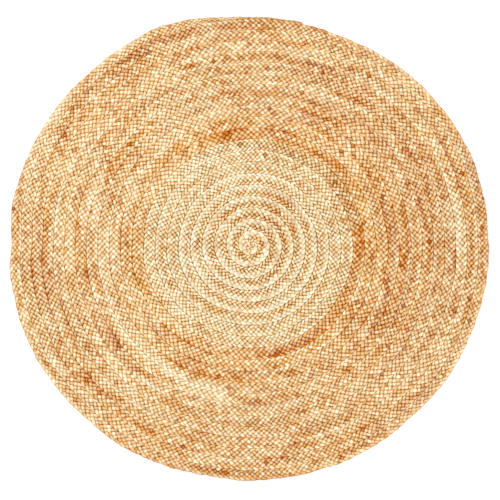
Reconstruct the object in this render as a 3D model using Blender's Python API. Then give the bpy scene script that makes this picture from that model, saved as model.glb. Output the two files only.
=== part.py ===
"""Round rug made of one flat five-strand plait, wound into a spiral and laced edge to edge.

The plait starts in a small coil at the middle, winds outwards clockwise seen from above, and
ends in a tapered tail on the rim.  Each turn of the plait is one solid, and so is each turn of
the lacing thread that lies in the seam between two turns.  Units are metres, +Z is up, the rug
lies on z = 0 and the origin is under the middle of its bounding box.
"""
import math

import bpy
import numpy as np

# ---- driving dimensions -------------------------------------------------------------------
PITCH_AT_CENTRE = 0.0304      # plait plus seam, where the plait is bent hardest and opens up
PITCH_AT_RIM = 0.0273         # plait plus seam in the last turn
FULL_TURNS = 21.22            # turns from the centre to where the plait starts to narrow
COIL_TURNS = 1.5              # of which the starting coil takes these
PALE_TURNS = 9.5              # and the first, paler batch of jute takes these
TAIL_SECTORS = 3              # sectors over which the tail narrows
TAIL_TIP_WIDTH = 0.0040       # plait width left at the tip of the tail
TAIL_TIP_THICKNESS = 0.0070   # plait thickness left at the tip of the tail
PLAIT_THICKNESS = 0.0110      # two layers of strand at each crossing
EDGE_WIDTH = 0.0034           # how far the rounded edge of the plait reaches in
EDGE_HEIGHT = 0.0036          # how far the rounded edge of the plait reaches up
THREAD_WIDTH = 0.0012         # lacing thread, across the seam
THREAD_HEIGHT = 0.0030        # zigzag of the lacing thread, up and down the seam
CLEARANCE = 0.0003            # between faces that touch
STRETCH_ACROSS = 1.016        # the rug is a little wider in X than in Y
STRETCH_ALONG = 0.987
RIM_DRIFT = 0.0045            # the last turn lies this far towards -Y of the centre
START_ANGLE = math.radians(190.0)  # direction of turn zero, anticlockwise from +X
SECTORS = 32                  # straight lengths that make up one turn

SEAM_WIDTH = THREAD_WIDTH + 2 * CLEARANCE
COIL_END = round(COIL_TURNS * SECTORS) / SECTORS       # the same lengths, to whole sectors
NARROWING = round(FULL_TURNS * SECTORS) / SECTORS
TIP = NARROWING + TAIL_SECTORS / SECTORS
LARGEST_EDGE_SHARE = 1 / 3    # of the section's width or thickness, for one rounded edge

PALE_JUTE = (0.78, 0.56, 0.31, 1.0)
GOLDEN_JUTE = (0.75, 0.48, 0.23, 1.0)
THREAD_BROWN = (0.36, 0.21, 0.10, 1.0)
JUTE_ROUGHNESS = 0.9
THREAD_ROUGHNESS = 0.85


# ---- spiral -------------------------------------------------------------------------------
def outer_radius(turn):
    """Radius of the plait's outer edge after a number of turns; the pitch shrinks evenly."""
    shrink = (PITCH_AT_RIM - PITCH_AT_CENTRE) / (2 * NARROWING)
    return turn * (PITCH_AT_CENTRE + shrink * turn)


def inner_radius(turn):
    """Radius of the plait's inner edge, one seam outside the turn before it."""
    return outer_radius(turn - 1) + SEAM_WIDTH


def spiral_point(turn, radius, height):
    """Point at a radius from the spiral's centre, in the direction that the turn has reached."""
    angle = START_ANGLE - 2 * math.pi * turn
    drift = RIM_DRIFT / outer_radius(NARROWING)
    x = radius * math.cos(angle) * STRETCH_ACROSS
    y = radius * (math.sin(angle) * STRETCH_ALONG - drift)
    return np.array((x, y, height))


def sector_turns(first, last):
    """Turn counts of every sector corner from first to last."""
    count = round((last - first) * SECTORS)
    return [first + step / SECTORS for step in range(count + 1)]


# ---- sections -----------------------------------------------------------------------------
def plait_section(inner, outer, thickness):
    """Eight (radius, height) corners of a flat plait with rounded edges, in order."""
    edge_in = min(EDGE_WIDTH, (outer - inner) * LARGEST_EDGE_SHARE)
    edge_up = min(EDGE_HEIGHT, thickness * LARGEST_EDGE_SHARE)
    return [
        (inner + edge_in, 0.0),
        (outer - edge_in, 0.0),
        (outer, edge_up),
        (outer, thickness - edge_up),
        (outer - edge_in, thickness),
        (inner + edge_in, thickness),
        (inner, thickness - edge_up),
        (inner, edge_up),
    ]


def turn_section(turn):
    """Section of the plait anywhere on the spiral, narrowing along the tail."""
    inner = inner_radius(turn)
    if turn <= NARROWING:
        return plait_section(inner, outer_radius(turn), PLAIT_THICKNESS)
    left = (TIP - turn) / (TIP - NARROWING)
    full_width = outer_radius(NARROWING) - inner_radius(NARROWING)
    width = TAIL_TIP_WIDTH + left ** 2 * (full_width - TAIL_TIP_WIDTH)
    thickness = TAIL_TIP_THICKNESS + left * (PLAIT_THICKNESS - TAIL_TIP_THICKNESS)
    return plait_section(inner, inner + width, thickness)


def thread_section(turn):
    """Four (radius, height) corners of the lacing in the seam outside a turn."""
    inner = outer_radius(turn) + CLEARANCE
    outer = inner + THREAD_WIDTH
    low = (PLAIT_THICKNESS - THREAD_HEIGHT) / 2
    high = low + THREAD_HEIGHT
    return [(inner, low), (outer, low), (outer, high), (inner, high)]


# ---- solids -------------------------------------------------------------------------------
def pull_back(ring, towards):
    """Move an end ring along the strip, so that two ends leave the clearance between them."""
    reach = np.linalg.norm(towards - ring, axis=1)[:, None]
    return ring + (towards - ring) * (CLEARANCE / 2) / reach


def strip_rings(section_at, first, last):
    """Rings of points along the spiral, with both end rings pulled back."""
    rings = []
    for turn in sector_turns(first, last):
        ring = [spiral_point(turn, radius, height) for radius, height in section_at(turn)]
        rings.append(np.array(ring))
    rings[0] = pull_back(rings[0], rings[1])
    rings[-1] = pull_back(rings[-1], rings[-2])
    return rings


def strip_faces(ring_count, corners):
    """Side quads between the rings and one cap at each end."""
    faces = []
    for ring in range(ring_count - 1):
        near = ring * corners
        far = near + corners
        for corner in range(corners):
            after = (corner + 1) % corners
            faces.append((near + corner, near + after, far + after, far + corner))
    last = (ring_count - 1) * corners
    faces.append(tuple(reversed(range(corners))))
    faces.append(tuple(last + corner for corner in range(corners)))
    return faces


def coil_solid():
    """The starting coil: a disc whose edge is the spiral's own edge, with a step at its end."""
    turns = sector_turns(COIL_END - 1, COIL_END)
    points = [np.zeros(3)]
    for turn in turns:
        half_section = plait_section(0.0, outer_radius(turn), PLAIT_THICKNESS)[1:5]
        points += [spiral_point(turn, radius, height) for radius, height in half_section]
    points.append(np.array((0.0, 0.0, PLAIT_THICKNESS)))
    rows = 4
    top = len(points) - 1
    faces = []
    for corner in range(len(turns)):
        near = 1 + corner * rows
        far = 1 + (corner + 1) % len(turns) * rows
        faces.append((0, near, far))
        for row in range(rows - 1):
            faces.append((near + row, near + row + 1, far + row + 1, far + row))
        faces.append((far + rows - 1, near + rows - 1, top))
    return points, faces


# ---- placing ------------------------------------------------------------------------------
def bounding_middle():
    """Middle of the rug's outline in X and Y, measured from the spiral's centre."""
    rim = [spiral_point(turn, turn_section(turn)[2][0], 0.0)
           for turn in sector_turns(TIP - 1, TIP)]
    corners = np.array(rim)
    middle = (corners.min(axis=0) + corners.max(axis=0)) / 2
    return middle[0], middle[1]


def jute_material(name, colour, roughness):
    material = bpy.data.materials.new(name)
    material.use_nodes = True
    material.diffuse_color = colour
    shader = material.node_tree.nodes["Principled BSDF"]
    shader.inputs["Base Color"].default_value = colour
    shader.inputs["Roughness"].default_value = roughness
    shader.inputs["Metallic"].default_value = 0.0
    return material


def add_solid(name, points, faces, colour, roughness, parent):
    mesh = bpy.data.meshes.new(name)
    mesh.from_pydata([tuple(point) for point in points], [], faces)
    mesh.validate()
    mesh.materials.append(jute_material(name + "_jute", colour, roughness))
    solid = bpy.data.objects.new(name, mesh)
    bpy.context.scene.collection.objects.link(solid)
    solid.parent = parent
    return solid


def add_plait(name, first, last, parent):
    rings = strip_rings(turn_section, first, last)
    colour = PALE_JUTE if last <= PALE_TURNS else GOLDEN_JUTE
    faces = strip_faces(len(rings), len(rings[0]))
    add_solid(name, np.concatenate(rings), faces, colour, JUTE_ROUGHNESS, parent)


def add_thread(name, first, last, parent):
    rings = strip_rings(thread_section, first, last)
    faces = strip_faces(len(rings), len(rings[0]))
    add_solid(name, np.concatenate(rings), faces, THREAD_BROWN, THREAD_ROUGHNESS, parent)


def turn_ends(first, last):
    """Start and end of each turn between first and last; the last one may be short."""
    ends = []
    start = first
    while start < last - 0.5 / SECTORS:
        ends.append((start, min(start + 1, last)))
        start += 1
    return ends


# ---- assembly -----------------------------------------------------------------------------
def clear_scene():
    for thing in list(bpy.data.objects):
        bpy.data.objects.remove(thing, do_unlink=True)


def build_rug():
    clear_scene()
    spiral_centre = bpy.data.objects.new("spiral_centre", None)
    bpy.context.scene.collection.objects.link(spiral_centre)
    middle_x, middle_y = bounding_middle()
    spiral_centre.location = (-middle_x, -middle_y, 0.0)

    points, faces = coil_solid()
    add_solid("centre_coil", points, faces, PALE_JUTE, JUTE_ROUGHNESS, spiral_centre)
    turns = turn_ends(COIL_END, TIP)
    for number, (first, last) in enumerate(turns[:-1], start=1):
        add_plait(f"braid_turn_{number:02d}", first, last, spiral_centre)
    add_plait("braid_tail", *turns[-1], spiral_centre)
    for number, (first, last) in enumerate(turn_ends(COIL_END - 1, TIP - 1), start=1):
        add_thread(f"seam_thread_{number:02d}", first, last, spiral_centre)


build_rug()
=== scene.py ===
"""Looks of the round braided jute rug, built around its CAD model.

The CAD holds the plait as plain flat strips, one for each turn of the spiral. Here each strip
is replaced by the real thing: five jute strands that go over one and under one along the whole
spiral, laced edge to edge with a thin cord, with loose fibres standing out of the surface.
"""
import math

import bpy
import numpy as np
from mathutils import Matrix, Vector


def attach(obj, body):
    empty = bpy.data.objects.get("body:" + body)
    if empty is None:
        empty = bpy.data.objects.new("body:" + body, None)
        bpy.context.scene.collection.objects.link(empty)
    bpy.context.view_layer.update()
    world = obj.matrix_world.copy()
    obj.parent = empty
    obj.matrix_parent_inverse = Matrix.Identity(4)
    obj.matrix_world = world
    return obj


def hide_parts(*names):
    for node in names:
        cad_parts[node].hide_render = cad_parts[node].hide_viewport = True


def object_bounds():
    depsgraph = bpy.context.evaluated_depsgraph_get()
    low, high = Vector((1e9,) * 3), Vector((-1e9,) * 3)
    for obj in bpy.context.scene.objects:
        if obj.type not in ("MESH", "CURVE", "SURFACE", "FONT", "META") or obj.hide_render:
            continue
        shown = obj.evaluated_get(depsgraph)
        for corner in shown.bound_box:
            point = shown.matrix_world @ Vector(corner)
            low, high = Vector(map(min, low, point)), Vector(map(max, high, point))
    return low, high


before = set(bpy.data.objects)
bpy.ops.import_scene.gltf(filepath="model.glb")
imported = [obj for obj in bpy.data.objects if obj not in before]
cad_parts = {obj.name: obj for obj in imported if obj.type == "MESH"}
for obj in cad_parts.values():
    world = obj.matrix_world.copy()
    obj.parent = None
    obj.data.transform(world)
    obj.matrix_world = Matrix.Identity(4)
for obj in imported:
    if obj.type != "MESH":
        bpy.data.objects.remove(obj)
cad_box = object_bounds()

# ---- the spiral, as the CAD lays it --------------------------------------------------------
PITCH_AT_CENTRE = 0.0304
PITCH_AT_RIM = 0.0273
NARROWING = 21.21875          # turns at which the plait starts to narrow towards its tail
TIP = 21.3125                 # turns at the tip of the tail
COIL_END = 1.5                # turns in the starting coil
PALE_TURNS = 9.5              # turns made from the first, paler batch
STRETCH_ACROSS = 1.016
STRETCH_ALONG = 0.987
RIM_DRIFT = 0.0045
START_ANGLE = math.radians(190.0)
SEAM_WIDTH = 0.0018
TAIL_TIP_WIDTH = 0.0040

SPIRAL_STEPS = 60000          # places at which the spiral is measured
RIM_STEPS = 2000              # and its last turn, for the middle of the outline

# Where the rim swells out or draws in: by how much, in which direction, over what spread.
SWELLS = [
    (0.009, 0.55, 0.40),
    (-0.007, 2.35, 0.25),
    (-0.006, 2.72, 0.15),
    (-0.010, 3.12, 0.11),
    (-0.004, 4.55, 0.30),
    (-0.004, 5.40, 0.35),
]
# Ripples that move the plait sideways: how far, radians per metre of x and of y, and phase.
RIPPLES_IN_X = [(0.0011, 4, 23, 0.6), (0.0007, -19, 47, 2.1)]
RIPPLES_IN_Y = [(0.0012, 21, -5, 1.9), (0.0007, 44, 23, 0.4)]

# ---- the plait -----------------------------------------------------------------------------
THICKNESS = 0.0112            # over all, two strands at each crossing
STRANDS = 5
CROSSING = 0.5 / STRANDS      # share of a strand's cycle from one crossing to the next
RINGS_PER_CYCLE = 30          # a strand's sections from edge to edge and back
RINGS_PER_CROSSING = 3
RING_CORNERS = 12
SQUARENESS = 0.78             # 1 is an ellipse, less is nearer a rounded block
LOBES = 3                     # loose yarns that show in a strand
LOBE_DEPTH = 0.05
TWIST_LENGTH = 0.055          # length of strand over which its yarns go once round
STITCH_PALE = 0.0127          # length of plait between one strand's turn at the edge and the next
STITCH_GOLDEN = 0.0143
STRAND_SHARE = 0.335          # half a strand's width, as a share of the stitch length
STRAND_HALF_HEIGHT = 0.0028
EDGE_HALF_WIDTH = 0.0033      # the strand rolls over as it turns at the edge
EDGE_HALF_HEIGHT = 0.0043
EDGE_SHARE = 0.055            # share of its cycle over which it does so
OPEN_REACH = 0.0020           # how far the turning strands bulge over the seam near the centre
CLOSED_REACH = 0.0026         # and in the outer turns, which close up
EDGE_RISE = 0.0006            # how far the turning strand is drawn up by the lacing
WEAVE_HEIGHT = 0.0027         # how far a strand's middle rises and falls
TURN_SHARPNESS = 0.78         # near 0 is a sine path across the plait, 1 a straight zigzag
PRESSED = 0.0008              # depth over which a strand flattens against the next turn
SEAM_OVERLAP = 0.0004         # how far strands of neighbouring turns press into each other
FIRST_TURN = 0.10             # the plait's own start, tucked in the middle
START_TURNS = 2               # the thin start is lifted in these turns, to be level on top
START_LIFT = 0.35             # by this share of what its size lacks
SIZE_LIMITS = (0.3, 1.08)     # a strand's size follows the plait's width between these
BEND_LIMITS = (0.74, 1.3)     # it widens outside a bend and narrows inside, between these
RESTING = 0.98                # lowest middle of a strand, as a share of its half height

# Curves along the spiral: at these turns, these values.
FULLNESS = ([0.5, 1.8], [1.18, 1.0])                          # size of the strands
EDGE_REACH = ([6, 10], [OPEN_REACH, CLOSED_REACH])            # see OPEN_REACH
BENDING = ([1.0, 4.0, 6.0, 9.0], [1.0, 0.85, 0.6, 0.0])       # how much the bend shows
LACING_TONE = ([0, 8, 10], [0.0, 0.0, 0.08])
BATCH_TONE = ([0, 1.5, 2.5, 4.5, 5.5, 8.0, 9.24, 9.32],
              [0.05, 0.05, 0.02, 0.00, 0.03, 0.03, 0.02, -0.05])

# Random changes along the plait: how large, over what length, and the seed of the draw.
STITCH_WANDER = (0.09, 0.16, 40)      # share by which the stitch length wanders
LUMPS = (0.12, 0.013, 100)            # shares by which a strand swells and thins
THICK_LENGTHS = (0.05, 0.05, 200)     # the same, more slowly
SIDE_JITTER = (0.0009, 0.017, 300)    # how far a strand strays across the plait
LEVEL_JITTER = (0.0005, 0.02, 400)    # and in height
SPLICED_TONE = (0.045, 1.7, 500)      # tone of one strand's lengths of jute
STREAKED_TONE = (0.04, 0.35, 600)     # and of shorter lengths in it
SHARED_TONE = (0.03, 0.8, 700)        # tone of all strands together
SEAM_CURVE = (1.0, 0.035, 770)        # over turns, not over a length; where open seams take painted shade
TINT_OF_ROWS = (0.8, 0.16, 1100)      # row by row
SHADE_SEED = 800                      # one draw for each crossing, as in the next two
KNOT_SEED = 900
TINT_SEED = 1000

# ---- loose fibres --------------------------------------------------------------------------
HAIRS_PER_RING = 0.32
FEWEST_HAIRS = 4              # in one length of the plait, added to the others
HAIR_RINGS = 5
HAIR_CORNERS = 3
HAIR_HALF = 0.00011
HAIR_TAPER = 0.6              # share of its width that a fibre loses towards its end
HAIR_REACH = (0.005, 0.014)
HAIR_RISE = 0.35              # how steeply it leaves the strand
HAIR_STRAY = 0.25             # how far it strays from the strand's direction
HAIR_CURL = 0.4               # share of its reach by which its end is bent away
MOST_CURL = 0.8
HAIR_LOWEST = 0.0004
HAIR_HIGHEST = THICKNESS + 0.004
HAIR_CREST = 0.9              # painted highlight: nearly as pale as a strand's back
HAIR_SEED = 5

# ---- the lacing ----------------------------------------------------------------------------
THREAD_HALF = 0.0008
THREAD_CORNERS = 6
THREAD_RINGS = 8              # sections for each stitch of the lacing
THREAD_ASIDE = 0.0021         # how far its middle reaches to each side of the seam
THREAD_RISE = 0.0040          # and above and below the middle of the rug's thickness
THREAD_STEP = 0.003           # length of one section, along the thread
THREAD_GIRTH = 0.004          # length round the thread, which its fibres' pattern follows
THREAD_MAP_GIRTH = 0.0038     # and the one that its flat map is laid out for
# the thread takes one even level of the painted highlight and shade that strands take on crests and
# flanks
THREAD_VALUES = {"shade": 0.0, "relief": 1.0, "tint": 0.0, "hue": 0.0, "painted_shading": 0.7}
SEAM_STEPS = 4000             # places at which one turn of a seam is measured


def srgb(red, green, blue):
    """Linear colour, with alpha, of display values from 0 to 1."""
    def linear(c):
        return ((c + 0.055) / 1.055) ** 2.4 if c > 0.04045 else c / 12.92
    return (linear(red), linear(green), linear(blue), 1.0)


def smooth_noise(where, spacing, seed):
    """Smooth random values from -1 to 1 along a line, one knot every spacing."""
    knots = np.random.default_rng(seed).uniform(-1, 1, int(np.max(where) / spacing) + 4)
    place = where / spacing
    left = np.floor(place).astype(int)
    part = place - left
    part = part * part * (3 - 2 * part)
    return knots[left] * (1 - part) + knots[left + 1] * part


def random_change(where, kind, index=0):
    """One of the random changes, at places along a line; index picks another draw of it."""
    size, spacing, seed = kind
    return size * smooth_noise(where, spacing, seed + index)


# ---- spiral --------------------------------------------------------------------------------
def outer_radius(turn):
    shrink = (PITCH_AT_RIM - PITCH_AT_CENTRE) / (2 * NARROWING)
    turn = np.maximum(turn, 0.0)
    return turn * (PITCH_AT_CENTRE + shrink * turn)


def flat_point(turn, radius):
    """X and Y, from the spiral's centre, of a radius in the direction that the turn has reached."""
    angle = START_ANGLE - 2 * math.pi * turn
    drift = RIM_DRIFT / outer_radius(NARROWING)
    x = radius * np.cos(angle) * STRETCH_ACROSS
    y = radius * (np.sin(angle) * STRETCH_ALONG - drift)
    return np.stack([x, y], axis=-1)


def plait_edges(turn):
    """Radius of the plait's inner and outer edge; the last stretch narrows to the tail's tip."""
    inner = outer_radius(turn - 1) + np.where(turn > 1, SEAM_WIDTH / 2, 0.0)
    outer = outer_radius(turn) - SEAM_WIDTH / 2
    left = np.clip((TIP - turn) / (TIP - NARROWING), 0, 1)
    narrowed = inner + TAIL_TIP_WIDTH + left ** 2 * (outer - inner - TAIL_TIP_WIDTH)
    return inner, np.where(turn > NARROWING, narrowed, outer)


def spiral_centre():
    """Where the spiral's centre lies: its outline has the same middle as the CAD's box."""
    turns = np.linspace(TIP - 1, TIP, RIM_STEPS)
    rim = flat_point(turns, plait_edges(turns)[1])
    middle = (rim.min(axis=0) + rim.max(axis=0)) / 2
    low, high = cad_box
    return np.array([(low[0] + high[0]) / 2, (low[1] + high[1]) / 2]) - middle


CENTRE = spiral_centre()


def rippled(x, y, ripples):
    return sum(size * np.sin(in_x * x + in_y * y + phase) for size, in_x, in_y, phase in ripples)


def settle(points):
    """The ripples and swells of a hand-laced rug; neighbouring turns move together."""
    x, y = points[..., 0], points[..., 1]
    dx = rippled(x, y, RIPPLES_IN_X)
    dy = rippled(x, y, RIPPLES_IN_Y)
    angle = np.arctan2(y, x)
    out = np.hypot(x, y) / outer_radius(NARROWING)
    swell = np.zeros_like(x)
    for size, direction, spread in SWELLS:
        aside = np.mod(angle - direction + math.pi, 2 * math.pi) - math.pi
        swell += size * np.exp(-(aside / spread) ** 2)
    points[..., 0] += dx + swell * out ** 2 * np.cos(angle)
    points[..., 1] += dy + swell * out ** 2 * np.sin(angle)
    return points


class Path:
    """The plait's middle line, sampled once for each ring of its strands."""

    def __init__(self):
        fine = np.linspace(FIRST_TURN, TIP, SPIRAL_STEPS)
        inner, outer = plait_edges(fine)
        line = flat_point(fine, (inner + outer) / 2)
        step = np.linalg.norm(np.diff(line, axis=0), axis=1)
        travelled = np.concatenate([[0], np.cumsum(step)])
        stitch = np.where(fine < PALE_TURNS, STITCH_PALE, STITCH_GOLDEN)
        stitch = stitch * (1 + random_change(travelled, STITCH_WANDER))
        cycles = np.concatenate([[0], np.cumsum(step / (STRANDS * stitch[1:]))])
        count = int(cycles[-1] * RINGS_PER_CYCLE)
        self.phase = np.arange(count + 1) / RINGS_PER_CYCLE
        self.stitch = np.interp(self.phase, cycles, stitch)
        self.turn = np.interp(self.phase, cycles, fine)
        self.length = np.interp(self.phase, cycles, travelled)
        inner, outer = plait_edges(self.turn)
        self.half_width = (outer - inner) / 2
        self.radius = (inner + outer) / 2
        self.middle = flat_point(self.turn, self.radius)
        along = np.gradient(self.middle, axis=0)
        along /= np.linalg.norm(along, axis=1)[:, None]
        self.outward = np.stack([-along[:, 1], along[:, 0]], axis=1)
        self.size = np.clip(self.half_width / (PITCH_AT_RIM / 2 - SEAM_WIDTH / 2), *SIZE_LIMITS)
        self.size *= np.interp(self.turn, *FULLNESS)
        lifted = 1 + START_LIFT * np.clip(1 - self.size, 0, 1)
        self.level = np.where(self.turn > START_TURNS, self.size, lifted)


def crossing_height(phase):
    """1 where a strand passes over another, -1 where it passes under."""
    part = np.mod(phase + CROSSING, 0.5) - CROSSING
    across = np.cos(2 * math.pi * (part - CROSSING) / (2 * CROSSING))
    round_edge = -np.cos(math.pi * (part + CROSSING) / (2 * CROSSING))
    return np.where(part < CROSSING, round_edge, across)


def crossing_side(phase):
    """-1 at the inner edge of the plait, 1 at the outer edge."""
    swing = TURN_SHARPNESS * np.sin(2 * math.pi * (phase - 0.25))
    return np.arcsin(swing) / math.asin(TURN_SHARPNESS)


def strand_line(path, strand):
    """Middle line of one strand, its half sizes, and how it lies in the plait."""
    phase = path.phase + strand / STRANDS
    side = crossing_side(phase)
    rise = crossing_height(phase)
    to_edge = np.abs(np.mod(phase + 0.25, 0.5) - 0.25)
    at_edge = np.exp(-(to_edge / EDGE_SHARE) ** 2)

    lumps = 1 + random_change(path.length, LUMPS, strand)
    lumps += random_change(path.length, THICK_LENGTHS, strand)
    bulge = np.interp(path.turn, *EDGE_REACH) * path.size
    bulge = np.where((path.turn > TIP - 1) & (side > 0), 0.0, bulge)
    reach = path.half_width + bulge - EDGE_HALF_WIDTH * path.size
    lateral = reach * side + random_change(path.length, SIDE_JITTER, strand)
    bend = np.clip((path.radius + lateral) / path.radius, *BEND_LIMITS)
    middle_width = STRAND_SHARE * path.stitch
    wide = middle_width + (EDGE_HALF_WIDTH - middle_width) * at_edge
    wide = wide * path.size * lumps * bend
    high = STRAND_HALF_HEIGHT + (EDGE_HALF_HEIGHT - STRAND_HALF_HEIGHT) * at_edge
    high = high * path.size * lumps

    flat = path.middle + path.outward * lateral[:, None]
    height = THICKNESS / 2 * path.level + WEAVE_HEIGHT * path.size * rise
    height += EDGE_RISE * path.size * at_edge
    height += random_change(path.length, LEVEL_JITTER, strand)
    height = np.maximum(height, high * RESTING)
    line = np.concatenate([flat, height[:, None]], axis=1)
    return line, wide, high, side


def sweep(line, wide, high, corners, squareness=1.0, twist=None):
    """Rings of corners round a line, flat side up; also the angle of each corner."""
    along = np.gradient(line, axis=0)
    along /= np.linalg.norm(along, axis=1)[:, None]
    across = np.cross(along, np.array([0.0, 0.0, 1.0]))
    across /= np.linalg.norm(across, axis=1)[:, None]
    up = np.cross(across, along)
    angle = np.arange(corners) * 2 * math.pi / corners
    flank = np.sign(np.cos(angle)) * np.abs(np.cos(angle)) ** squareness
    back = np.sign(np.sin(angle)) * np.abs(np.sin(angle)) ** squareness
    lobes = np.ones((len(line), corners))
    if twist is not None:
        lobes += LOBE_DEPTH * np.cos(LOBES * (angle[None, :] + twist[:, None]))
    rings = (line[:, None, :]
             + across[:, None, :] * (wide[:, None] * flank * lobes)[..., None]
             + up[:, None, :] * (high[:, None] * back * lobes)[..., None])
    return rings, angle


# ---- meshes --------------------------------------------------------------------------------
MAP_ROW_FILL = 0.94           # share of a row of the flat map that its skin takes
MAP_ROW_MARGIN = 0.03
MAP_CAP_RADIUS = 0.4          # of an end cap on the map, as a share of a row


def tube_faces(tubes, rings, corners):
    """Quads of several tubes with the same number of rings, then a cap at each end of each."""
    tube, ring, corner = np.indices((tubes, rings - 1, corners))
    near = (tube * rings + ring) * corners
    far = near + corners
    after = (corner + 1) % corners
    quads = np.stack([near + corner, far + corner, far + after, near + after], axis=-1)
    first = np.arange(tubes)[:, None] * rings * corners
    start_caps = first + np.arange(corners)[None, :]
    end_caps = first + (rings - 1) * corners + np.arange(corners)[None, ::-1]
    return quads.reshape(-1, 4), np.concatenate([start_caps, end_caps])


def tube_map(tubes, rings, corners, step, girth):
    """A flat map of the tubes: their skins laid out in rows that fill a square."""
    count = tubes * (rings - 1)
    per_row = max(1, round(math.sqrt(count * girth / step)))
    rows = math.ceil(count / per_row) + 1
    index = np.arange(count)
    left = (index % per_row)[:, None] / per_row
    low = (index // per_row)[:, None] / rows
    corner = np.arange(corners)[None, :]
    tall = MAP_ROW_FILL / rows / corners
    u = np.stack(np.broadcast_arrays(left, left + 1 / per_row, left + 1 / per_row, left), axis=-1)
    base = low + MAP_ROW_MARGIN / rows + corner * tall
    v = np.stack([base, base, base + tall, base + tall], axis=-1)
    u = np.broadcast_to(u.reshape(count, 1, 4), v.shape)
    quads = np.stack([u, v], axis=-1).reshape(-1, 2)
    angle = np.arange(corners) * 2 * math.pi / corners
    cap = np.stack([np.cos(angle), np.sin(angle)], axis=-1) * MAP_CAP_RADIUS / rows
    places = (np.arange(2 * tubes) + 0.5) / (2 * tubes)
    caps = np.stack([places, np.full(2 * tubes, (rows - 0.5) / rows)], axis=-1)[:, None, :] + cap
    return np.concatenate([quads, caps.reshape(-1, 2)])


def build_mesh(name, points, faces, flat_map):
    """A mesh from its points, arrays of faces with the same number of corners, and its map."""
    mesh = bpy.data.meshes.new(name)
    mesh.vertices.add(len(points))
    mesh.vertices.foreach_set("co", points.astype(np.float32).ravel())
    corners = np.concatenate([group.ravel() for group in faces])
    mesh.loops.add(len(corners))
    mesh.loops.foreach_set("vertex_index", corners.astype(np.int32))
    sizes = np.concatenate([np.full(len(group), group.shape[1]) for group in faces])
    mesh.polygons.add(len(sizes))
    mesh.polygons.foreach_set("loop_start", (np.cumsum(sizes) - sizes).astype(np.int32))
    layer = mesh.uv_layers.new(name="OFBake")
    layer.data.foreach_set("uv", flat_map.astype(np.float32).ravel())
    mesh.update(calc_edges=True)
    mesh.polygons.foreach_set("use_smooth", np.ones(len(sizes), dtype=bool))
    return mesh


def set_values(mesh, name, values):
    layer = mesh.attributes.new(name, "FLOAT", "POINT")
    layer.data.foreach_set("value", values.astype(np.float32).ravel())


def set_vectors(mesh, name, values):
    layer = mesh.attributes.new(name, "FLOAT_VECTOR", "POINT")
    layer.data.foreach_set("vector", values.astype(np.float32).ravel())


def add_piece(name, mesh, material, node):
    """A piece of the rug that stands in for one node of the CAD."""
    mesh.materials.append(material)
    piece = bpy.data.objects.new(name, mesh)
    bpy.context.scene.collection.objects.link(piece)
    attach(piece, "root")
    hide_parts(node)


# ---- tones ---------------------------------------------------------------------------------
ROWS = 5                      # rows of crossings across the plait, with its edges
FADE = 0.05                   # turns over which a stretch fades in and out
SEAM_THRESHOLD = 0.36         # the seam's random curve paints shade on it only above this
SEAM_GAIN = 2.5
SEAM_TONE = 0.22              # what the painted shade in the darkest stretch of an open seam takes from the tone
OUTER_TONE = 0.11             # the outer half of a bent plait is paler by this
INNER_TONE = 0.045            # and its inner edge darker by this
PAINTED_EDGE_SHADE = 0.11             # painted shade: both edges of a straight plait, beside the seams, are darker by this
RELIEF = 1.1                  # contrast between the painted highlight on a strand's crest and the painted shade on its flanks
BENT_RELIEF = 0.5             # taken from the outer half where the plait is bent
BENT_SHADE = 0.4              # share by which crossings differ less where it is bent
MOST_SHADE = 2.2              # crossings differ by no more than this many times SHADE_SIZE
SHADE_SIZE = 0.5
KNOT_SHARE = 0.012            # crossings that are a dark speck of bark
KNOT_SHADE = 1.6
TINT_OF_CROSSING = 0.6        # more tint is greyer and a little yellower
TINT_OF_DARK = 1.5            # for each 1 of darker tone, which is below 0, so it takes tint
TINT_OF_OUTER_HALF = 1.1
TINT_OF_BEND = 0.3
TINT_OUTSIDE = 0.35           # added in full from the second of the next two turns
TINT_GROWS = (10, 13)
HUE_OF_TINT = 0.003           # more hue is yellower, less is redder
HUE_OF_DARK = 0.034
HUE_OF_KNOT = 0.006
HUE_OF_GOLDEN = 0.0012

# Bands across the plait, as slope and offset of a value that is kept between 0 and 1.
SEAM_BAND = (4, -2.9)         # close to either edge
INNER_BAND = (-4, -1.8)       # the inner quarter of the whole width
EDGES_BAND = (3.4, -2.2)      # the last third before either edge
RIM_BAND = (3, -2)            # the outer third of the outer half

# Streaks in single rows: size in pale jute, what golden jute adds, over what length, and seed.
ROW_STREAKS = [(0.040, 0.085, 0.11, 730), (0.035, 0.050, 0.04, 750)]

# Stretches of darker or paler jute in the plait: from turn, to turn, change of tone.
STRETCHES = [
    (2.38, 2.48, -0.10),
    (2.62, 2.98, 0.06),
    (4.30, 4.52, -0.09),
    (5.28, 5.42, -0.10),
    (5.50, 5.78, 0.06),
    (7.65, 8.40, 0.05),
    (9.40, 9.82, -0.17),
    (10.20, 10.50, -0.11),
    (10.94, 11.10, -0.08),
    (12.00, 12.27, 0.05),
    (12.29, 12.68, -0.10),
    (12.78, 13.05, 0.06),
    (13.30, 13.68, -0.07),
    (13.78, 14.00, 0.05),
    (14.05, 14.95, -0.04),
    (14.28, 14.66, -0.04),
    (14.86, 15.06, -0.08),
    (15.36, 15.62, -0.07),
    (15.84, 16.02, 0.06),
    (16.40, 16.66, -0.06),
    (17.24, 17.54, -0.06),
    (18.40, 18.60, 0.06),
    (18.68, 18.95, -0.08),
    (19.25, 19.75, -0.03),
    (20.14, 20.38, -0.06),
    (20.34, 20.64, -0.06),
    (20.75, 21.00, -0.05),
]


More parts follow.
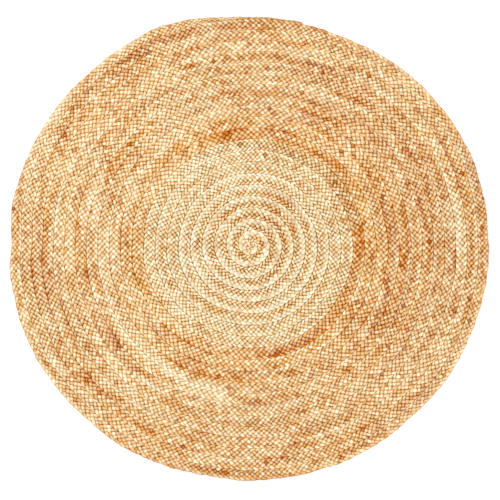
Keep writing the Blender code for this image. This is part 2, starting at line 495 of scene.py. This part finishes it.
def row_noise(path, side, spacing, seed):
    """Random values that change from row to row across the plait and hold for a while along it."""
    row = (side + 1) / 2 * (ROWS - 1)
    below = np.clip(np.floor(row).astype(int), 0, ROWS - 2)
    rows = np.stack([smooth_noise(path.length, spacing, seed + index) for index in range(ROWS)])
    ring = np.arange(len(row))
    part = row - below
    return rows[below, ring] * (1 - part) + rows[below + 1, ring] * part


def band(side, slope_and_offset):
    """0 to 1: how far a place across the plait lies inside a band."""
    slope, offset = slope_and_offset
    return np.clip(side * slope + offset, 0, 1)


def stretch_tone(turn):
    """Change of tone by the darker and paler stretches."""
    tone = np.zeros_like(turn)
    for first, last, change in STRETCHES:
        fading = np.clip((turn - first) / FADE, 0, 1) * np.clip((last - turn) / FADE, 0, 1)
        tone += change * fading
    return tone


def painted_seam_shade(turn, side):
    """0 to 1 along the edges of the plait: painted shade in stretches where the seam that two turns
    share lies open.
    """
    seam_turn = turn - (side < 0)
    dark = random_change(np.maximum(seam_turn, 0), SEAM_CURVE) - SEAM_THRESHOLD
    dark = np.clip(dark * SEAM_GAIN, 0, 1)
    return dark * band(np.abs(side), SEAM_BAND) * (seam_turn < TIP - 1)


def crossing_draws(path, strand):
    """Random shade and tint of each crossing of a strand, and which ones are specks of bark."""
    ring = np.arange(len(path.phase)) + strand * RINGS_PER_CYCLE // STRANDS
    crossing = (ring + 1) // RINGS_PER_CROSSING
    count = crossing.max() + 1
    shades = np.random.default_rng(SHADE_SEED + strand).normal(0, 1, count)
    knots = np.random.default_rng(KNOT_SEED + strand).random(count) < KNOT_SHARE
    shades = np.clip(shades, -MOST_SHADE, MOST_SHADE) * SHADE_SIZE - knots * KNOT_SHADE
    tints = np.random.default_rng(TINT_SEED + strand).uniform(-1, 1, count)
    return shades[crossing], tints[crossing], knots[crossing]


def strand_tones(path, strand, side):
    """What the material needs to know at each ring of one strand; more tone is paler."""
    bent = np.interp(path.turn, *BENDING)
    outer_half = np.clip((side + 0.02) * 4.0, -1, 1)  # -1 in the inner half, 1 in the outer
    golden = np.clip(path.turn - PALE_TURNS + 0.5, 0, 1)  # 0 in pale jute, 1 in golden

    change = stretch_tone(path.turn)
    for size, golden_adds, spacing, seed in ROW_STREAKS:
        change += (size + golden_adds * golden) * row_noise(path, side, spacing, seed)
    change += bent * (OUTER_TONE * outer_half - INNER_TONE * band(side, INNER_BAND))
    # painted shade in open seams of the golden jute
    change -= golden * SEAM_TONE * painted_seam_shade(path.turn, side)
    dark = np.minimum(change, 0)
    tone = np.interp(path.turn, *BATCH_TONE)
    tone = tone + random_change(path.length, SPLICED_TONE, strand)
    tone = tone + random_change(path.length, STREAKED_TONE, strand)
    tone = tone + random_change(path.length, SHARED_TONE) + change
    # painted shade along both edges of a straight plait, beside the seams
    tone = tone - (1 - bent) * PAINTED_EDGE_SHADE * band(np.abs(side), EDGES_BAND)

    shades, tints, knots = crossing_draws(path, strand)
    size, spacing, seed = TINT_OF_ROWS
    tints = TINT_OF_CROSSING * tints + size * row_noise(path, side, spacing, seed)
    tints = tints + TINT_OF_DARK * dark
    tints = tints + bent * (TINT_OF_OUTER_HALF * outer_half + TINT_OF_BEND)
    tints = tints + TINT_OUTSIDE * np.interp(path.turn, TINT_GROWS, (0, 1))
    hue = HUE_OF_TINT * tints + HUE_OF_DARK * dark - HUE_OF_KNOT * knots + HUE_OF_GOLDEN * golden
    return {
        "tone": tone,
        "shade": shades * (1 - BENT_SHADE * bent),
        "relief": RELIEF - bent * BENT_RELIEF * outer_half,
        "tint": tints,
        "hue": hue,
    }


# ---- materials -----------------------------------------------------------------------------
PALE_ROUGHNESS = 0.85
GOLDEN_ROUGHNESS = 0.88
THREAD_ROUGHNESS = 0.8
JUTE_BUMP = 0.0004            # height of the fibres' relief
THREAD_BUMP = 0.0002
FIBRE_GRAIN = (55.0, 1700.0, 3.0)      # along the strand and round it, per metre, and detail
BUNDLE_GRAIN = (22.0, 520.0, 2.0)
GRAIN_ROUGHNESS = 0.6
CREST_POWER = 1.85            # more keeps the painted highlight to the top of a strand's back
CREST_TONE = 0.875            # how much paler the painted highlight on a crest is than the painted shade on the deepest flank
FLANK_TONE = -0.53            # the tone of the deepest flank, in painted shade, beside the middle one
MIDDLE_TONE = 0.435           # place on the colour ramp of jute that is neither pale nor dark
SHADE_TONE = 0.165            # difference between crossings
FIBRE_TONE = 0.70
BUNDLE_TONE = 0.60
TINT_SATURATION = -0.12
ROUGH_FIBRES = 0.25           # what the fibres add to the roughness
ROUGH_OFFSET = 0.12           # and what is first taken from it
SPECULAR = 0.2
SHEEN = 0.06
SHEEN_COLOUR = srgb(0.95, 0.80, 0.60)
SHEEN_ROUGHNESS = 0.5
BUMP_STRENGTH = 0.9
BUNDLE_BUMP = 1.4             # of a bundle, beside a fibre's 1

# Colours from the darkest jute to the palest.
PALE_RAMP = [
    (0.00, srgb(0.52, 0.27, 0.10)),
    (0.14, srgb(0.67, 0.43, 0.17)),
    (0.30, srgb(0.79, 0.58, 0.33)),
    (0.46, srgb(0.85, 0.70, 0.48)),
    (0.62, srgb(0.90, 0.81, 0.63)),
    (0.80, srgb(0.95, 0.91, 0.78)),
    (1.00, srgb(0.98, 0.97, 0.89)),
]
GOLDEN_RAMP = [
    (0.00, srgb(0.56, 0.29, 0.09)),
    (0.14, srgb(0.72, 0.44, 0.18)),
    (0.30, srgb(0.82, 0.59, 0.33)),
    (0.46, srgb(0.875, 0.71, 0.48)),
    (0.62, srgb(0.92, 0.81, 0.62)),
    (0.80, srgb(0.965, 0.91, 0.77)),
    (1.00, srgb(0.99, 0.97, 0.88)),
]


def new_node(tree, kind, **settings):
    node = tree.nodes.new(kind)
    for key, value in settings.items():
        setattr(node, key, value)
    return node


def math_node(tree, operation, first, second, third=None):
    """A math node; its inputs are numbers or sockets."""
    node = new_node(tree, "ShaderNodeMath", operation=operation)
    for socket, value in zip(node.inputs, (first, second, third)):
        if value is None:
            continue
        if isinstance(value, (int, float)):
            socket.default_value = value
        else:
            tree.links.new(value, socket)
    return node.outputs[0]


def stretched_noise(tree, grain):
    """Noise drawn out along the strand."""
    along, around, detail = grain
    place = new_node(tree, "ShaderNodeAttribute", attribute_name="fibre")
    scale = new_node(tree, "ShaderNodeVectorMath", operation="MULTIPLY")
    scale.inputs[1].default_value = (along, around, 1.0)
    noise = new_node(tree, "ShaderNodeTexNoise")
    noise.inputs["Scale"].default_value = 1.0
    noise.inputs["Detail"].default_value = detail
    noise.inputs["Roughness"].default_value = GRAIN_ROUGHNESS
    tree.links.new(place.outputs["Vector"], scale.inputs[0])
    tree.links.new(scale.outputs[0], noise.inputs["Vector"])
    return noise.outputs[0]


def attribute(tree, name):
    return new_node(tree, "ShaderNodeAttribute", attribute_name=name).outputs["Fac"]


def centred(tree, noise, size):
    """Noise from 0 to 1 as a change of tone, as much darker as paler."""
    return math_node(tree, "MULTIPLY_ADD", noise, size, -size / 2)


def colour_ramp(tree, value, ramp_points):
    ramp = new_node(tree, "ShaderNodeValToRGB")
    elements = ramp.color_ramp.elements
    while len(elements) < len(ramp_points):
        elements.new(0.5)
    for element, (place, colour) in zip(elements, ramp_points):
        element.position = place
        element.color = colour
    tree.links.new(value, ramp.inputs[0])
    return ramp.outputs[0]


def tinted(tree, colour):
    """The colour with its hue and saturation moved as the strand's tones ask."""
    node = new_node(tree, "ShaderNodeHueSaturation")
    hue = math_node(tree, "ADD", attribute(tree, "hue"), 0.5)
    saturation = math_node(tree, "MULTIPLY_ADD", attribute(tree, "tint"), TINT_SATURATION, 1.0)
    tree.links.new(hue, node.inputs["Hue"])
    tree.links.new(saturation, node.inputs["Saturation"])
    tree.links.new(colour, node.inputs["Color"])
    return node.outputs[0]


def jute_material(name, ramp_points, roughness, bump_height):
    """Jute: tone from the batch and the crossing, painted highlight on crests and painted shade on
    flanks, fibres along the strand.
    """
    material = bpy.data.materials.new(name)
    material.use_nodes = True
    tree = material.node_tree
    shader = tree.nodes["Principled BSDF"]

    fibres = stretched_noise(tree, FIBRE_GRAIN)
    bundles = stretched_noise(tree, BUNDLE_GRAIN)
    # painted light and shade: a strand's crest paler, its flanks deep in the plait darker
    painted_shading = math_node(tree, "POWER", attribute(tree, "painted_shading"), CREST_POWER)
    painted_shading = math_node(tree, "MULTIPLY_ADD", painted_shading, CREST_TONE, FLANK_TONE)
    value = math_node(tree, "MULTIPLY_ADD", painted_shading, attribute(tree, "relief"), MIDDLE_TONE)
    value = math_node(tree, "ADD", value, attribute(tree, "tone"))
    value = math_node(tree, "MULTIPLY_ADD", attribute(tree, "shade"), SHADE_TONE, value)
    value = math_node(tree, "ADD", value, centred(tree, fibres, FIBRE_TONE))
    value = math_node(tree, "ADD", value, centred(tree, bundles, BUNDLE_TONE))
    colour = tinted(tree, colour_ramp(tree, value, ramp_points))
    tree.links.new(colour, shader.inputs["Base Color"])

    rough = math_node(tree, "MULTIPLY_ADD", fibres, ROUGH_FIBRES, roughness - ROUGH_OFFSET)
    tree.links.new(rough, shader.inputs["Roughness"])
    shader.inputs["Specular IOR Level"].default_value = SPECULAR
    shader.inputs["Sheen Weight"].default_value = SHEEN
    shader.inputs["Sheen Tint"].default_value = SHEEN_COLOUR
    shader.inputs["Sheen Roughness"].default_value = SHEEN_ROUGHNESS

    relief = math_node(tree, "MULTIPLY_ADD", bundles, BUNDLE_BUMP, fibres)
    bump = new_node(tree, "ShaderNodeBump")
    bump.inputs["Strength"].default_value = BUMP_STRENGTH
    bump.inputs["Distance"].default_value = bump_height
    tree.links.new(relief, bump.inputs["Height"])
    tree.links.new(bump.outputs[0], shader.inputs["Normal"])
    return material


# ---- pieces --------------------------------------------------------------------------------
STRAND_VALUES = ("tone", "shade", "relief", "tint", "hue")  # as in strand_tones
STRAND_GIRTH = 0.022          # length round a strand, which its fibres' pattern follows
STRAND_STEP = 0.0028          # length of one section of a strand on the flat map
STRAND_MAP_SHARE = 0.94       # share of each map that the strands take; loose fibres take the rest
FIBRE_SLANT = 0.12            # how far the fibres wind round a strand for each metre along it
STRAND_APART = 7.3            # keeps the strands' patterns apart
RIM_CREST = 0.8               # least crest on the free rim, which lies open to the light
BACK_CREST = 0.55             # what a strand's back adds to its painted highlight
LEVEL_CREST = 0.45            # and what its height in the plait adds
HAIR_MAP = (0.004, 0.0008)    # section length and girth of a loose fibre on the flat map


def painted_shading_of(height, thickness, angle):
    """Painted light and shade: nearly 0 on a strand's flanks deep in the plait, 1 where it shows
    its back.
    """
    level = np.clip(np.abs(height / thickness) * 2, 0, 1)
    return BACK_CREST * np.abs(np.sin(angle)) + LEVEL_CREST * level


def plait_piece(name, node, path, strands, first, last, material):
    """One length of the plait: its five strands between two rings, and their loose fibres."""
    span = slice(first, last + 1)
    rings = np.stack([data["rings"][span] for data in strands])
    shape = rings.shape[:3]
    count = shape[1]
    place = np.zeros(shape + (3,))
    place[..., 0] = path.length[None, span, None]
    around = np.abs(np.mod(strands[0]["angle"] / (2 * math.pi) + 0.25, 1.0) - 0.5) * STRAND_GIRTH
    place[..., 1] = around + place[..., 0] * FIBRE_SLANT
    place[..., 2] = np.arange(STRANDS)[:, None, None] * STRAND_APART
    thickness = THICKNESS * path.size[None, span, None]
    middle = THICKNESS / 2 * path.level[None, span, None]
    # painted shade on flanks deep in the plait, painted highlight on backs and on the open rim
    painted_shading = painted_shading_of(rings[..., 2] - middle, thickness, strands[0]["angle"])
    side = np.stack([data["side"][span] for data in strands])
    at_rim = band(side, RIM_BAND) * (path.turn[span] > TIP - 1)
    values = {"painted_shading": np.maximum(painted_shading, RIM_CREST * at_rim[..., None])}
    for key in STRAND_VALUES:
        along = np.stack([data[key][span] for data in strands])
        values[key] = np.broadcast_to(along[..., None], shape)
    quads, caps = tube_faces(STRANDS, count, RING_CORNERS)
    flat_map = tube_map(STRANDS, count, RING_CORNERS, STRAND_STEP, STRAND_GIRTH)
    flat_map[:, 1] *= STRAND_MAP_SHARE

    hairs, roots = loose_fibres(rings, path.turn[first])
    hair_quads, hair_caps = tube_faces(len(hairs), HAIR_RINGS, HAIR_CORNERS)
    hair_map = tube_map(len(hairs), HAIR_RINGS, HAIR_CORNERS, *HAIR_MAP)
    hair_map[:, 1] = STRAND_MAP_SHARE + hair_map[:, 1] * (1 - STRAND_MAP_SHARE)

    points = np.concatenate([rings.reshape(-1, 3), hairs.reshape(-1, 3)])
    faces = [quads, caps, hair_quads + rings[..., 0].size, hair_caps + rings[..., 0].size]
    mesh = build_mesh(name, points, faces, np.concatenate([flat_map, hair_map]))
    per_hair = HAIR_RINGS * HAIR_CORNERS
    hair_places = np.repeat(place.reshape(-1, 3)[roots], per_hair, axis=0)
    set_vectors(mesh, "fibre", np.concatenate([place.reshape(-1, 3), hair_places]))
    for key, numbers in values.items():
        hair_values = np.repeat(numbers.ravel()[roots], per_hair)
        if key == "painted_shading":
            hair_values = np.full(len(hair_values), HAIR_CREST)
        set_values(mesh, key, np.concatenate([numbers.ravel(), hair_values]))
    add_piece(name, mesh, material, node)


def loose_fibres(rings, first_turn):
    """Short fibres that have worked loose; each leaves a strand's back or flank at a low angle."""
    source = np.random.default_rng(int(first_turn * 1000) + HAIR_SEED)
    strand_count, ring_count, corners = rings.shape[:3]
    count = int(ring_count * HAIRS_PER_RING) + FEWEST_HAIRS
    strand = source.integers(0, strand_count, count)
    ring = source.integers(2, ring_count - 2, count)
    corner = source.integers(0, corners // 2 + 1, count)
    roots = (strand * ring_count + ring) * corners + corner
    start = rings[strand, ring, corner]
    along = rings[strand, ring + 1].mean(axis=1) - rings[strand, ring - 1].mean(axis=1)
    along *= source.choice([-1.0, 1.0], count)[:, None]
    outward = start - rings[strand, ring].mean(axis=1)
    heading = along / np.linalg.norm(along, axis=1)[:, None]
    heading = heading + HAIR_RISE * outward / np.linalg.norm(outward, axis=1)[:, None]
    heading = heading + source.normal(0, HAIR_STRAY, (count, 3))
    heading /= np.linalg.norm(heading, axis=1)[:, None]
    reach = source.uniform(*HAIR_REACH, count)
    curl = np.clip(source.normal(0, HAIR_CURL, (count, 3)), -MOST_CURL, MOST_CURL)
    step = np.linspace(0, 1, HAIR_RINGS)
    line = (start[:, None, :] + (heading * reach[:, None])[:, None, :] * step[None, :, None]
            + (curl * reach[:, None])[:, None, :] * step[None, :, None] ** 2)
    line[..., 2] = np.clip(line[..., 2], HAIR_LOWEST, HAIR_HIGHEST)
    angle = np.arange(HAIR_CORNERS) * 2 * math.pi / HAIR_CORNERS
    side = np.cross(heading, np.array([0.0, 0.0, 1.0]))
    side /= np.linalg.norm(side, axis=1)[:, None]
    up = np.cross(side, heading)
    half = HAIR_HALF * (1 - HAIR_TAPER * step)[None, :, None, None]
    ring_shape = (side[:, None, None, :] * np.cos(angle)[None, None, :, None]
                  + up[:, None, None, :] * np.sin(angle)[None, None, :, None])
    return line[:, :, None, :] + half * ring_shape, roots


def press_together(path, rings):
    """Flatten the strands where they meet the turn beside them, at the middle of the seam."""
    offset = rings[..., :2] - path.middle[:, None, :]
    lateral = np.einsum("rcx,rx->rc", offset, path.outward)
    limit = (path.half_width + SEAM_WIDTH / 2 + SEAM_OVERLAP)[:, None]
    past = np.abs(lateral) - (limit - PRESSED)
    pressed = limit - PRESSED * np.exp(-np.maximum(past, 0.0) / PRESSED)
    free_rim = (path.turn > TIP - 1)[:, None] & (lateral > 0)
    wanted = np.where((past > 0) & ~free_rim, np.sign(lateral) * pressed, lateral)
    rings[..., :2] += (wanted - lateral)[..., None] * path.outward[:, None, :]


def make_strands(path):
    strands = []
    for strand in range(STRANDS):
        line, wide, high, side = strand_line(path, strand)
        twist = 2 * math.pi * path.length / TWIST_LENGTH + strand
        rings, angle = sweep(line, wide, high, RING_CORNERS, SQUARENESS, twist)
        press_together(path, rings)
        rings[..., :2] = settle(rings[..., :2]) + CENTRE
        data = {"rings": rings, "angle": angle, "side": side}
        data.update(strand_tones(path, strand, side))
        strands.append(data)
    return strands


def make_plait():
    path = Path()
    strands = make_strands(path)
    pale = jute_material("pale_jute", PALE_RAMP, PALE_ROUGHNESS, JUTE_BUMP)
    golden = jute_material("golden_jute", GOLDEN_RAMP, GOLDEN_ROUGHNESS, JUTE_BUMP)
    names = sorted(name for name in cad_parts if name.startswith("braid_turn"))
    lengths = [("centre_coil", 0.0, COIL_END)]
    lengths += [(name, COIL_END + index, COIL_END + index + 1) for index, name in enumerate(names)]
    lengths.append(("braid_tail", COIL_END + len(names), TIP + 1))
    for node, start, end in lengths:
        first = int(np.searchsorted(path.turn, start))
        last = min(int(np.searchsorted(path.turn, end)), len(path.turn) - 1)
        is_pale = end <= PALE_TURNS
        plait_piece("plait_" + node, node,
                    path, strands, first, last, pale if is_pale else golden)


def seam_turns(start, end):
    """Turns at evenly spaced sections of the lacing, whole stitches from start to end."""
    fine = np.linspace(start, end, SEAM_STEPS)
    line = flat_point(fine, outer_radius(fine))
    length = np.concatenate([[0], np.cumsum(np.linalg.norm(np.diff(line, axis=0), axis=1))])
    stitches = round(length[-1] / STITCH_GOLDEN)
    return np.interp(np.linspace(0, length[-1], stitches * THREAD_RINGS + 1), length, fine)


def lacing_mesh(name, turn):
    """The thread along one seam, over and under it, once to and fro for each stitch."""
    phase = np.arange(len(turn)) * 2 * math.pi / THREAD_RINGS
    flat = flat_point(turn, outer_radius(turn) + THREAD_ASIDE * np.sin(phase))
    height = THICKNESS / 2 + THREAD_RISE * np.cos(phase)
    line = np.concatenate([flat, height[:, None]], axis=1)
    half = np.full(len(line), THREAD_HALF)
    rings, angle = sweep(line, half, half, THREAD_CORNERS)
    rings[..., :2] = settle(rings[..., :2]) + CENTRE
    quads, caps = tube_faces(1, len(line), THREAD_CORNERS)
    flat_map = tube_map(1, len(line), THREAD_CORNERS, THREAD_STEP, THREAD_MAP_GIRTH)
    mesh = build_mesh(name, rings.reshape(-1, 3), [quads, caps], flat_map)
    place = np.zeros(rings.shape)
    place[..., 0] = np.arange(len(line))[:, None] * THREAD_STEP
    place[..., 1] = np.abs(angle / math.pi - 1)[None, :] * THREAD_GIRTH
    set_vectors(mesh, "fibre", place)
    tone = np.interp(turn, *LACING_TONE)
    set_values(mesh, "tone", np.repeat(tone, THREAD_CORNERS))
    for key, value in THREAD_VALUES.items():
        set_values(mesh, key, np.full(len(line) * THREAD_CORNERS, value))
    return mesh


def make_lacing():
    """A thin cord that laces each turn to the one outside it."""
    material = jute_material("lacing_thread", GOLDEN_RAMP, THREAD_ROUGHNESS, THREAD_BUMP)
    names = sorted(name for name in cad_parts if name.startswith("seam_thread"))
    for index, name in enumerate(names):
        start = COIL_END - 1 + index
        turn = seam_turns(start, min(start + 1, TIP - 1))
        mesh = lacing_mesh("lacing_" + name, turn)
        add_piece("lacing_" + name, mesh, material, name)


# ---- studio --------------------------------------------------------------------------------
FLOOR_SIZE = 80.0
FLOOR_COLOUR = (0.93, 0.93, 0.93, 1.0)
FLOOR_ROUGHNESS = 0.9
FLOOR_GLOW = 0.20             # keeps the floor near white between the lights
WHITE = (1.0, 1.0, 1.0, 1.0)
SKY_STRENGTH = 0.90
# Lights that face the rug's middle: name, place, diameter, power.
LIGHTS = [
    ("key_light", (-2.8, 2.8, 3.2), 1.4, 88.0),
    ("fill_light", (1.6, -1.6, 3.6), 2.4, 32.0),
]
CAMERA_PLACE = (0.0051, -0.0038, 3.2)  # looking straight down
SENSOR_WIDTH = 36.0
SEEN_WIDTH = 1.2675           # width in view at the rug's mid height


def area_light(name, place, size, power):
    light = bpy.data.lights.new(name, "AREA")
    light.shape = "DISK"
    light.size = size
    light.energy = power
    lamp = bpy.data.objects.new(name, light)
    bpy.context.scene.collection.objects.link(lamp)
    lamp.location = place
    x, y, z = place
    lamp.rotation_euler = (math.atan2(math.hypot(x, y), z), 0.0, math.atan2(x, -y))


def make_floor():
    bpy.ops.mesh.primitive_plane_add(size=FLOOR_SIZE, location=(0.0, 0.0, 0.0))
    floor = bpy.context.object
    floor.name = "floor"
    material = bpy.data.materials.new("studio_floor")
    material.use_nodes = True
    shader = material.node_tree.nodes["Principled BSDF"]
    shader.inputs["Base Color"].default_value = FLOOR_COLOUR
    shader.inputs["Roughness"].default_value = FLOOR_ROUGHNESS
    shader.inputs["Specular IOR Level"].default_value = 0.0
    shader.inputs["Emission Color"].default_value = WHITE
    shader.inputs["Emission Strength"].default_value = FLOOR_GLOW
    floor.data.materials.append(material)


def make_lights():
    world = bpy.data.worlds.new("studio")
    world.use_nodes = True
    background = world.node_tree.nodes["Background"]
    background.inputs["Color"].default_value = WHITE
    background.inputs["Strength"].default_value = SKY_STRENGTH
    bpy.context.scene.world = world
    for light in LIGHTS:
        area_light(*light)


def make_camera():
    scene = bpy.context.scene
    lens = bpy.data.cameras.new("camera")
    camera = bpy.data.objects.new("camera", lens)
    scene.collection.objects.link(camera)
    camera.location = CAMERA_PLACE
    camera.rotation_euler = (0.0, 0.0, 0.0)
    lens.sensor_width = SENSOR_WIDTH
    lens.lens = SENSOR_WIDTH * (CAMERA_PLACE[2] - THICKNESS / 2) / SEEN_WIDTH
    scene.camera = camera
    scene.view_settings.view_transform = "Standard"


make_floor()
make_lights()
make_camera()
make_plait()
make_lacing()
